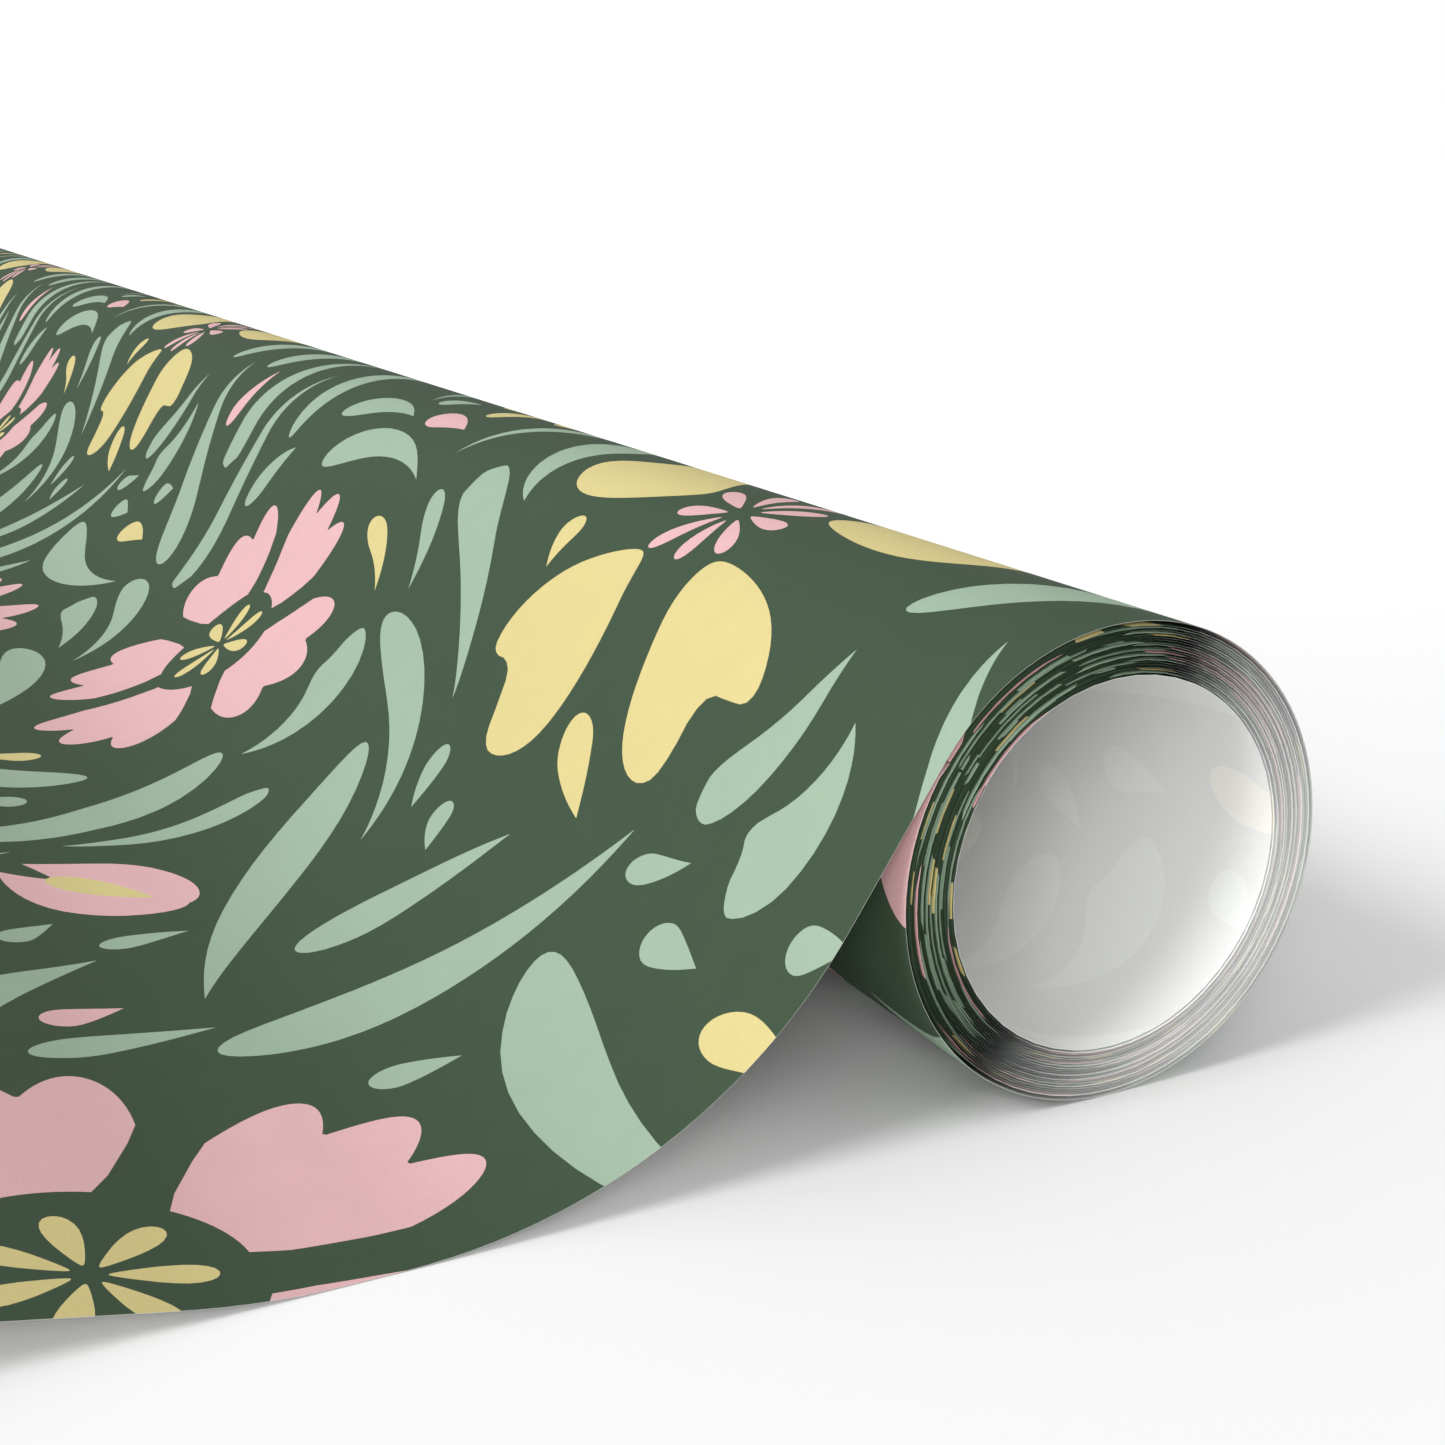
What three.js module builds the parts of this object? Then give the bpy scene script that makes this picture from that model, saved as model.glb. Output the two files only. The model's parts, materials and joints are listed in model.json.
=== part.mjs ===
// Wrapping paper roll without a core tube: one printed paper web, wound on itself with its printed
// side out, and the loose leaf that leaves the roll and lies on the table.
// Millimetres, +Z up. The roll's axis runs along Y, the leaf runs towards -X, and the origin is
// on the table under the middle of the whole object's box.
//
// The web is cut across into separate solids so that it can move: the outer wrap, the turns
// inside it, and the bands of the leaf. Every solid is a stretch of the same sheet, so all of
// them have one thickness and one width.
import * as THREE from 'three';

// ---- Driving dimensions ---------------------------------------------------------------------

const webWidth = 762; // across the web: the length of the roll
const paperThickness = 0.06;
const turnGap = 0.155; // air between one turn and the next in the loosely wound roll
const bandGap = 0.3; // left along the sheet between two solids that meet end to end

const outerRadius = 22; // to the printed face of the outer wrap, where the leaf leaves it
const turnCount = 22; // all the turns of the roll, the outer wrap included

const leaveSlope = 56.4; // degrees below level at which the leaf leaves the roll
const dropLength = 16; // the straight stretch between the roll and the bend
const easeSlope = 6; // degrees: the slope where the bend eases into the landing arc
const landingRadius = 50; // the arc that lays the leaf down on the table
const landLength = 4; // the strip that lies flat on the table
const liftRadius = 60; // the arc in which the leaf leaves the table again
const riseSlope = 12; // degrees above level that the lifting arc reaches
const riseLength = 15; // the straight stretch up to the crest
const crestRadius = 176; // the paper's own curl, which brings the free edge back down

const roundStep = 7.5; // degrees between the corners of a turn; it divides 90
const bendStep = 4; // the most degrees between two corners of the leaf
const longStep = 5; // the most millimetres between two corners of the leaf's arcs

const printedGreen = 0x4a5f4a;
const backWhite = 0xf2f1ee;
const paperRoughness = 0.85;

// ---- Sizes that follow ----------------------------------------------------------------------

const rad = THREE.MathUtils.degToRad;
const deg = THREE.MathUtils.radToDeg;
const turnPitch = paperThickness + turnGap;
const leaveAngle = 90 + leaveSlope; // round the axis, from +X over the top

// The outer wrap shrinks by a pitch in its turn. The turns inside start a further pitch in, so
// they clear the wrap's inner end at every angle as they turn inside it.
const wrapRadius = (travel) => outerRadius - (turnPitch * travel) / 360;
const coilRadius = (travel) => wrapRadius(travel) - turnPitch;

// The roll stands on its lowest point, straight below the axis.
const axisHeight = wrapRadius(leaveAngle + 90);

// ---- The sheet's route ----------------------------------------------------------------------

// A corner of the sheet: a point of its white back face, and the way its printed face looks.
// Both are in the plane across the roll, x to the side and y up, with the axis above x = 0.
// Travel is the angle from where the leaf leaves the roll, over the top and on into the roll.
function cornerOnRoll(travel, radiusAt) {
  const angle = rad(leaveAngle - travel);
  const face = new THREE.Vector2(Math.cos(angle), Math.sin(angle));
  const back = face.clone().multiplyScalar(radiusAt(travel) - paperThickness);
  back.y += axisHeight;
  return { back, face };
}

// A stretch of the leaf. Slopes are in degrees and positive downhill, and an arc turns from
// one slope to the next at a radius measured on the back face.
const straight = (length, slope) => ({ from: slope, to: slope, length });
const arc = (radius, from, to) => ({ from, to, length: radius * Math.abs(rad(to - from)) });
const arcDrop = (radius, from, to) => radius * Math.abs(Math.cos(rad(to)) - Math.cos(rad(from)));

// The leaf's stretches from the roll to the free edge. The bend's radius is what brings the
// back face down to the table, and the crest's last slope brings the free edge down to it.
function leafStretches() {
  const leaveHeight = cornerOnRoll(0, wrapRadius).back.y;
  const dropped = dropLength * Math.sin(rad(leaveSlope)) + arcDrop(landingRadius, easeSlope, 0);
  const bendRadius = (leaveHeight - dropped) / arcDrop(1, leaveSlope, easeSlope);
  const crestFoot = arcDrop(liftRadius, 0, riseSlope) + riseLength * Math.sin(rad(riseSlope));
  const crestHeight = crestFoot + arcDrop(crestRadius, riseSlope, 0);
  const edgeSlope = deg(Math.acos(1 - crestHeight / crestRadius));
  return {
    drop: straight(dropLength, leaveSlope),
    bend: arc(bendRadius, leaveSlope, easeSlope),
    landing: arc(landingRadius, easeSlope, 0),
    land: straight(landLength, 0),
    lift: arc(liftRadius, 0, -riseSlope),
    rise: straight(riseLength, -riseSlope),
    crest: arc(crestRadius, -riseSlope, edgeSlope),
  };
}

// The same stretches in a list, each with how far along the leaf it starts.
const route = [];
let leafLength = 0;
for (const [name, stretch] of Object.entries(leafStretches())) {
  route.push({ name, start: leafLength, ...stretch });
  leafLength += stretch.length;
}

// A share of the way along a stretch, as a length from the roll.
function placeOn(name, share) {
  const { start, length } = route.find((stretch) => stretch.name === name);
  return start + share * length;
}

// A corner of the leaf, a length along its back face from the roll. Each stretch moves on by
// its chord, which points along the mean of its first and last slopes.
function cornerOnLeaf(along) {
  const { back } = cornerOnRoll(0, wrapRadius);
  let slope = leaveSlope;
  for (const { start, from, to, length } of route) {
    const part = Math.min(along - start, length);
    if (part <= 0) break;
    slope = from + ((to - from) * part) / length;
    const half = rad(slope - from) / 2;
    const chord = half === 0 ? part : (part * Math.sin(half)) / half;
    const heading = rad((from + slope) / 2);
    back.x -= chord * Math.cos(heading);
    back.y -= chord * Math.sin(heading);
  }
  const face = new THREE.Vector2(-Math.sin(rad(slope)), Math.cos(rad(slope)));
  return { back, face };
}

// ---- Solids ---------------------------------------------------------------------------------

// A stretch of sheet: its back face goes out through the corners and its printed face comes
// back a thickness away, and the outline is extruded across the web.
function sheet(name, corners, colour) {
  const backs = corners.map(({ back }) => back);
  const fronts = corners.map(({ back, face }) => back.clone().addScaledVector(face, paperThickness));
  const outline = new THREE.Shape([...backs, ...fronts.reverse()]);
  const solid = new THREE.ExtrudeGeometry(outline, { depth: webWidth, bevelEnabled: false });
  const paper = { color: colour, roughness: paperRoughness, metalness: 0 };
  const mesh = new THREE.Mesh(solid, new THREE.MeshStandardMaterial(paper));
  mesh.name = name;
  return mesh;
}

// One turn of the roll. Its corners are at whole steps round the axis, one of them straight
// below it, so that the outer wrap stands on the table. Half of bandGap is open at each end.
function turnCorners(turn, radiusAt) {
  const halfGap = deg(bandGap / 2 / outerRadius);
  const first = (turn - 1) * 360 + halfGap;
  const last = turn * 360 - halfGap;
  const travels = [first];
  for (let travel = (turn - 1) * 360 + (leaveAngle % roundStep); travel < last; travel += roundStep) {
    if (travel > first) travels.push(travel);
  }
  travels.push(last);
  return travels.map((travel) => cornerOnRoll(travel, radiusAt));
}

// A band of the leaf between two places along it. Half of bandGap is open where it meets the
// roll or the next band. The free edge meets nothing, so the last band ends on it.
function bandCorners(start, end) {
  const first = start + bandGap / 2;
  const last = end < leafLength ? end - bandGap / 2 : end;
  const places = [first, last];
  for (const stretch of route) {
    const turned = Math.abs(stretch.to - stretch.from);
    const steps = turned === 0 ? 1 : Math.ceil(Math.max(turned / bendStep, stretch.length / longStep));
    for (let step = 0; step < steps; step += 1) {
      const place = stretch.start + (stretch.length * step) / steps;
      if (place > first && place < last) places.push(place);
    }
  }
  places.sort((a, b) => a - b);
  return places.map(cornerOnLeaf);
}

// ---- The roll and the leaf ------------------------------------------------------------------

// The outer wrap, then the turns inside it. Only the innermost shows its white back, in the bore.
function roll() {
  const group = new THREE.Group();
  group.add(sheet('outer_wrap', turnCorners(1, wrapRadius), printedGreen));
  for (let turn = 2; turn <= turnCount; turn += 1) {
    const name = `turn_${String(turn).padStart(2, '0')}`;
    const colour = turn === turnCount ? backWhite : printedGreen;
    group.add(sheet(name, turnCorners(turn, coilRadius), colour));
  }
  return group;
}

// The leaf in bands, by where each starts. The bend is cut at three places and the tail at
// three, and those are where the sheet is free to flex.
function leaf() {
  const starts = {
    leaf_drop: 0,
    leaf_bend_1: placeOn('bend', 1 / 6),
    leaf_bend_2: placeOn('bend', 3 / 6),
    leaf_land: placeOn('bend', 5 / 6),
    leaf_rise: placeOn('land', 1),
    leaf_crest: placeOn('crest', 1 / 3),
    leaf_edge: placeOn('crest', 2 / 3),
  };
  const group = new THREE.Group();
  const ends = [...Object.values(starts).slice(1), leafLength];
  Object.entries(starts).forEach(([name, start], band) => {
    group.add(sheet(name, bandCorners(start, ends[band]), printedGreen));
  });
  return group;
}

// Outlines are drawn with y up and extruded along z. The turn stands them across Y, with half
// of the web on each side of the origin and the middle of the box over it.
const wrappingPaperRoll = new THREE.Group();
const leafReach = -cornerOnLeaf(leafLength).back.x;
wrappingPaperRoll.add(roll(), leaf());
wrappingPaperRoll.rotation.x = Math.PI / 2;
wrappingPaperRoll.position.set((leafReach - outerRadius) / 2, webWidth / 2, 0);

export default wrappingPaperRoll;
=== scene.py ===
"""Wrapping paper roll: one printed paper web, wound on itself without a core, with its loose leaf
laid out on the table.

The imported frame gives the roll's axis, its radius and the web's width. The sheet is drawn flat in
web millimetres, s along the web and y across it, cut along the outlines of the print, and then
carried onto the roll and the leaf. s is 0 where the leaf leaves the roll. It grows into the roll,
and it is negative on the leaf.
"""
import json
import logging
import math
import random
from dataclasses import dataclass, field, replace
from enum import Enum, IntEnum

import bpy
import numpy as np
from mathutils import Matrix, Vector
from mathutils.geometry import delaunay_2d_cdt


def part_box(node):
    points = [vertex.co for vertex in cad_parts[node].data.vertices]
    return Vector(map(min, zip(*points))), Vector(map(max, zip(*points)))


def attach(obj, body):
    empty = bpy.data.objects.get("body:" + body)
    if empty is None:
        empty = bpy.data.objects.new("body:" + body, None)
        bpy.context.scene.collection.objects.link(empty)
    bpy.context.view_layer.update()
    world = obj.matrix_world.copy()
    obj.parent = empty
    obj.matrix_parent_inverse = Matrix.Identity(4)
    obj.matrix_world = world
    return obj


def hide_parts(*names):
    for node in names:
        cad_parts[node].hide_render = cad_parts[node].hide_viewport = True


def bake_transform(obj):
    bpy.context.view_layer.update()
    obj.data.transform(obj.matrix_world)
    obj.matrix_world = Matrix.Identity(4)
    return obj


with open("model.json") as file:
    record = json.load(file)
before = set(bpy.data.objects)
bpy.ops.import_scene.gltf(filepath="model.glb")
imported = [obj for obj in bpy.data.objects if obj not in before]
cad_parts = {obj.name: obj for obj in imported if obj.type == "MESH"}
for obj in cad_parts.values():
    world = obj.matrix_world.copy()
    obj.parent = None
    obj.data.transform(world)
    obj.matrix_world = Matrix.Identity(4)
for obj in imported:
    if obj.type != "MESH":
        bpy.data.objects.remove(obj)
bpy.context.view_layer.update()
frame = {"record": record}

log = logging.getLogger("wrapping_paper_roll")

MM = 0.001  # metres in a millimetre
TURN = 2 * math.pi
WELD = 1e-5  # millimetres under which two points of the flat web are one


# ---- Where the sheet runs -------------------------------------------------------------------


@dataclass(frozen=True)
class Stretch:
    """A straight or an arc of the leaf, seen across the web.

    Attributes:
        start: How far along the leaf it starts, in millimetres.
        length: Its length, in millimetres.
        slope_in: Its first slope, in radians, positive downhill.
        slope_out: Its last slope.
        x: Where it starts to the side, in millimetres.
        z: Where it starts above the table.
    """

    start: float
    length: float
    slope_in: float
    slope_out: float
    x: float
    z: float

    def at(self, along: np.ndarray) -> tuple[np.ndarray, np.ndarray, np.ndarray]:
        """Follows the stretch.

        Args:
            along: Lengths from the roll, in millimetres.

        Returns:
            x, z and slope at each of them.
        """
        part = along - self.start
        slope = self.slope_in + (self.slope_out - self.slope_in) * part / self.length
        half = (slope - self.slope_in) / 2
        chord = part * np.sinc(half / math.pi)
        heading = (self.slope_in + slope) / 2
        return self.x - chord * np.cos(heading), self.z - chord * np.sin(heading), slope


@dataclass(frozen=True)
class WebRoute:
    """The path of the sheet's white back face from the free edge to the bore, in millimetres.

    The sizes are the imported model's own. The axis, the radius and the width come from the frame.
    """

    axis_x: float
    axis_z: float
    outer_radius: float
    width: float
    thickness: float = 0.06
    turn_gap: float = 0.155
    turn_count: int = 22
    leave_slope: float = 56.4
    drop_length: float = 16.0
    ease_slope: float = 6.0
    landing_radius: float = 50.0
    land_length: float = 4.0
    lift_radius: float = 60.0
    rise_slope: float = 12.0
    rise_length: float = 15.0
    crest_radius: float = 176.0

    @classmethod
    def from_frame(cls) -> "WebRoute":
        """Reads the axis from the coil's hinge and the radius and width from the outer wrap.

        Returns:
            The route.
        """
        joints = {joint["name"]: joint for joint in frame["record"]["behaviour"]["joints"]}
        axis_x, _, axis_z = (value / MM for value in joints["coil_turn"]["pos_m"])
        low, high = (np.array(corner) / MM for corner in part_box("outer_wrap"))
        leave_angle = 90 + cls.leave_slope
        lost = (cls.thickness + cls.turn_gap) * leave_angle / 360
        return cls(axis_x, axis_z, high[0] - axis_x + lost, high[1] - low[1])

    @property
    def pitch(self) -> float:
        """Radius lost in each turn: the paper and the air beside it."""
        return self.thickness + self.turn_gap

    @property
    def leave_angle(self) -> float:
        """Where the leaf leaves the roll, round the axis from +X over the top, in radians."""
        return math.radians(90 + self.leave_slope)

    @property
    def back_radius(self) -> float:
        """Radius of the back face where the leaf leaves the roll."""
        return self.outer_radius - self.thickness

    @property
    def wrap_length(self) -> float:
        """Length of the outer wrap along the web."""
        return self.back_radius * TURN - self.pitch * TURN / 2

    @property
    def wound_length(self) -> float:
        """Length of the whole wound web, from where the leaf leaves it to its inner end."""
        return self.place_of_travel(self.turn_count * TURN)

    def place_of_travel(self, travel: float) -> float:
        """Measures the web along the spiral.

        Args:
            travel: The angle gone round into the roll, in radians.

        Returns:
            The place along the web, in millimetres.
        """
        if travel <= TURN:
            return self.back_radius * travel - self.pitch * travel**2 / (2 * TURN)
        inner = travel - TURN
        first = self.back_radius - 2 * self.pitch
        return self.wrap_length + first * inner - self.pitch * inner**2 / (2 * TURN)

    def _on_roll(self, place: np.ndarray) -> tuple[np.ndarray, np.ndarray, np.ndarray, np.ndarray]:
        """Back face points and printed normals on the roll.

        Args:
            place: Places along the web, 0 or more.

        Returns:
            x, z and the normal's x and z.
        """
        coil = place > self.wrap_length
        first = np.where(coil, self.back_radius - 2 * self.pitch, self.back_radius)
        past = np.where(coil, place - self.wrap_length, place)
        shrink = self.pitch / TURN
        inner = (first - np.sqrt(first**2 - 2 * shrink * past)) / shrink
        radius = first - shrink * inner
        angle = self.leave_angle - inner - np.where(coil, TURN, 0)
        nx, nz = np.cos(angle), np.sin(angle)
        return self.axis_x + radius * nx, self.axis_z + radius * nz, nx, nz

    def stretches(self) -> list[Stretch]:
        """The leaf's straights and arcs, from the roll to the free edge.

        Returns:
            The stretches. The bend's radius brings the leaf down to the table, and the crest's
            last slope brings the free edge down to it.
        """
        slopes = (self.leave_slope, self.ease_slope, self.rise_slope)
        leave, ease, rise = (math.radians(slope) for slope in slopes)

        def drop(first: float, last: float) -> float:
            """How far an arc of radius 1 falls between two slopes."""
            return abs(math.cos(last) - math.cos(first))

        x = self.axis_x + self.back_radius * math.cos(self.leave_angle)
        z = self.axis_z + self.back_radius * math.sin(self.leave_angle)
        fallen = self.drop_length * math.sin(leave) + self.landing_radius * drop(ease, 0)
        bend_radius = (z - fallen) / drop(leave, ease)
        foot = self.lift_radius * drop(0, rise) + self.rise_length * math.sin(rise)
        crest = foot + self.crest_radius * drop(rise, 0)
        last = math.acos(1 - crest / self.crest_radius)
        plan = [
            (self.drop_length, leave, leave),
            (bend_radius * (leave - ease), leave, ease),
            (self.landing_radius * ease, ease, 0.0),
            (self.land_length, 0.0, 0.0),
            (self.lift_radius * rise, 0.0, -rise),
            (self.rise_length, -rise, -rise),
            (self.crest_radius * (rise + last), -rise, last),
        ]
        made: list[Stretch] = []
        along = 0.0
        for length, first, end in plan:
            made.append(Stretch(along, length, first, end, x, z))
            along += length
            end_x, end_z, _ = made[-1].at(np.array([along]))
            x, z = float(end_x[0]), float(end_z[0])
        return made

    @property
    def leaf_length(self) -> float:
        """Length of the leaf, from the roll to the free edge."""
        last = self.stretches()[-1]
        return last.start + last.length

    def _on_leaf(self, along: np.ndarray) -> tuple[np.ndarray, np.ndarray, np.ndarray, np.ndarray]:
        """Back face points and printed normals on the leaf.

        Args:
            along: Lengths from the roll, 0 or more.

        Returns:
            x, z and the normal's x and z.
        """
        x, z, slope = (np.zeros_like(along) for _ in range(3))
        for stretch in self.stretches():
            here = along >= stretch.start
            x[here], z[here], slope[here] = stretch.at(along[here])
        return x, z, -np.sin(slope), np.cos(slope)

    def back_face(self, place: np.ndarray) -> tuple[np.ndarray, np.ndarray, np.ndarray, np.ndarray]:
        """The even back face.

        Args:
            place: Places along the web, in millimetres.

        Returns:
            x, z and the printed normal's x and z.
        """
        rolled = self._on_roll(np.maximum(place, 0))
        loose = self._on_leaf(np.maximum(-place, 0))
        return tuple(np.where(place >= 0, a, b) for a, b in zip(rolled, loose))

    def point(self, place: float) -> tuple[float, float, float]:
        """A point of the sheet at mid width, in metres."""
        x, z, _, _ = self.back_face(np.array([place]))
        return float(x[0]) * MM, 0.0, float(z[0]) * MM


@dataclass(frozen=True)
class HandWound:
    """How far a hand-wound sheet strays from its even path, in millimetres."""

    slack: float = 0.012
    uneven_edge: float = 0.08
    wave: float = 0.55
    wave_length: float = 310.0

    def stray(
        self, route: WebRoute, place: np.ndarray, across: np.ndarray
    ) -> tuple[np.ndarray, np.ndarray]:
        """How far the sheet is lifted off its path and shifted across.

        Args:
            route: The even path.
            place: Places along the web.
            across: Places across the web.

        Returns:
            The lift along the printed normal and the shift along the axis.
        """
        # The numbers in the sines set waves of unlike lengths, so that no two turns stray alike.
        turns = place / (TURN * route.outer_radius)
        rolled = np.clip(place / route.wrap_length - 1, 0, 1)
        lift = self.slack * rolled * np.sin(TURN * 0.37 * turns + 0.8 + across / 140) * np.sin(5.1 * turns)
        end = np.abs(across) / (route.width / 2)
        shift = self.uneven_edge * rolled * end**8 * np.sin(2.3 * turns + 1.7 * np.sin(0.7 * turns))
        loose = np.clip(-place / route.leaf_length - 0.36, 0, 1) / 0.64
        ripple = 0.5 + 0.5 * np.sin(TURN * across / self.wave_length + 2.1 + 1.4 * loose)
        return lift + self.wave * loose**1.5 * ripple, shift


# ---- The print ------------------------------------------------------------------------------


class Ink(IntEnum):
    """The print's colours, in the order that they are laid down."""

    GROUND = 0
    PINK = 1
    YELLOW = 2
    SAGE = 3


@dataclass(frozen=True)
class Mark:
    """One flat-coloured shape of the print: its ink and its closed outline in millimetres."""

    ink: Ink
    outline: np.ndarray


def placed(outline: np.ndarray, x: float, y: float, angle: float, scale: float = 1.0) -> np.ndarray:
    """Turns, scales and moves an outline.

    Args:
        outline: Points drawn from the origin, along x.
        x: Where its origin goes, along the web.
        y: Where its origin goes, across the web.
        angle: The turn, in radians.
        scale: The scale, before the turn.

    Returns:
        The moved outline.
    """
    cos, sin = math.cos(angle), math.sin(angle)
    return outline @ np.array([[cos, sin], [-sin, cos]]) * scale + np.array([x, y])


def rounded(outline: np.ndarray) -> np.ndarray:
    """Cuts every corner of an outline a quarter of the way along its sides."""
    ahead = np.roll(outline, -1, axis=0)
    return np.stack([0.75 * outline + 0.25 * ahead, 0.25 * outline + 0.75 * ahead], 1).reshape(-1, 2)


def brush_stroke(
    length: float, width: float, bend: float, head: float = 0.32, notch: float = 0.0
) -> np.ndarray:
    """A leaf drawn in one stroke, from its round head to its pointed tail.

    Args:
        length: Along its bent spine.
        width: Across it where it is fullest.
        bend: The angle that the spine turns through, in radians and not 0.
        head: How far along it is fullest.
        notch: How deep the notch in its head is, as a share of its length.

    Returns:
        The outline.
    """
    t = 0.5 - 0.5 * np.cos(np.linspace(0, math.pi, 13))
    turned = bend * t
    spine = length / bend * np.stack([np.sin(turned), 1 - np.cos(turned)], 1)
    front, back = np.clip(t / head, 0, 1), np.clip((t - head) / (1 - head), 0, 1)
    shoulder, taper = np.sqrt(1 - (1 - front) ** 2), (1 - back) ** 1.1 * (1 + 0.5 * back)
    half = 0.5 * width * np.where(t < head, shoulder, taper)
    spine[:, 0] += notch * length * np.exp(-((t / (0.35 * head)) ** 2))
    side = np.stack([-np.sin(turned), np.cos(turned)], 1) * half[:, None]
    return np.concatenate([spine + side, (spine - side)[-2:0:-1]])


def heart_petal(length: float, width: float, notch: float, lean: float) -> np.ndarray:
    """A broad petal from its narrow foot to a notched tip.

    Args:
        length: From foot to tip.
        width: Across its broadest.
        notch: The notch's depth as a share of the length.
        lean: How far the notch sits to one side, from -1 to 1.

    Returns:
        The outline.
    """
    a = np.linspace(0, TURN, 32, endpoint=False)
    x = 0.5 - 0.5 * np.cos(a)
    broad = np.sin(a) * (0.32 + 0.68 * x**0.8)
    tip = notch * np.exp(-(((a - math.pi * (1 + lean)) / 0.36) ** 2))
    return np.stack([length * (x - tip), 0.5 * width * (1.15 * broad + 0.22 * lean * x)], 1)


def scalloped_petal(length: float, angle: float, lobes: int, depth: float) -> np.ndarray:
    """A fan-shaped petal with a scalloped outer edge.

    Args:
        length: From the flower's middle to the edge.
        angle: The angle that it fills, in radians.
        lobes: Scallops along its edge.
        depth: Their depth as a share of the length.

    Returns:
        The outline.
    """
    a = np.linspace(-0.5, 0.5, 40)
    reach = length * (1 - depth * (1 - np.abs(np.sin(math.pi * lobes * (a + 0.5)))) - 0.14 * (2 * a) ** 4)
    foot = np.linspace(0.4, -0.4, 7) * angle
    outer = np.stack([reach * np.cos(a * angle), reach * np.sin(a * angle)], 1)
    return np.concatenate([outer, 0.36 * length * np.stack([np.cos(foot), np.sin(foot)], 1)])


def seed_drop(length: float, width: float) -> np.ndarray:
    """A stamen, seed or slim petal: a drop from its narrow foot to its round tip.

    Args:
        length: From foot to tip.
        width: Across its broadest.

    Returns:
        The outline.
    """
    a = np.linspace(0, TURN, 12, endpoint=False)
    x = 0.5 - 0.5 * np.cos(a)
    return np.stack([length * x, 0.5 * width * np.sin(a) * (0.25 + 0.75 * x)], 1)


def eye(radius: float) -> np.ndarray:
    """A flower's round eye."""
    a = np.linspace(0, TURN, 12, endpoint=False)
    return radius * np.stack([np.cos(a), np.sin(a)], 1)


class Bloom(Enum):
    """The kinds of flower in the print."""

    HEART_PETALLED = "five broad notched petals round a fan of stamens"
    SCALLOPED = "five scalloped petals round a ring of seeds"
    DAISY = "slim petals round an eye"
    BUD = "two closed petals round a seed"


@dataclass(frozen=True)
class Planting:
    """One flower's place in the repeat, in millimetres and radians."""

    bloom: Bloom
    x: float
    y: float
    angle: float
    size: float
    ink: Ink
    eye_ink: Ink


@dataclass(frozen=True)
class Foliage:
    """One size of leaf, and how it is scattered between the flowers.

    Attributes:
        length: Its length, in millimetres.
        width: Its width.
        bends: The least and most angle that it bends through, in radians.
        tries: How many places are tried.
        gap: The ground kept clear round it.
        petal_share: The share of them printed in a flower's ink.
        notched_share: The share of them with a notched head.
    """

    length: float
    width: float
    bends: tuple[float, float]
    tries: int
    gap: float
    petal_share: float = 0.0
    notched_share: float = 0.0


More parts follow.
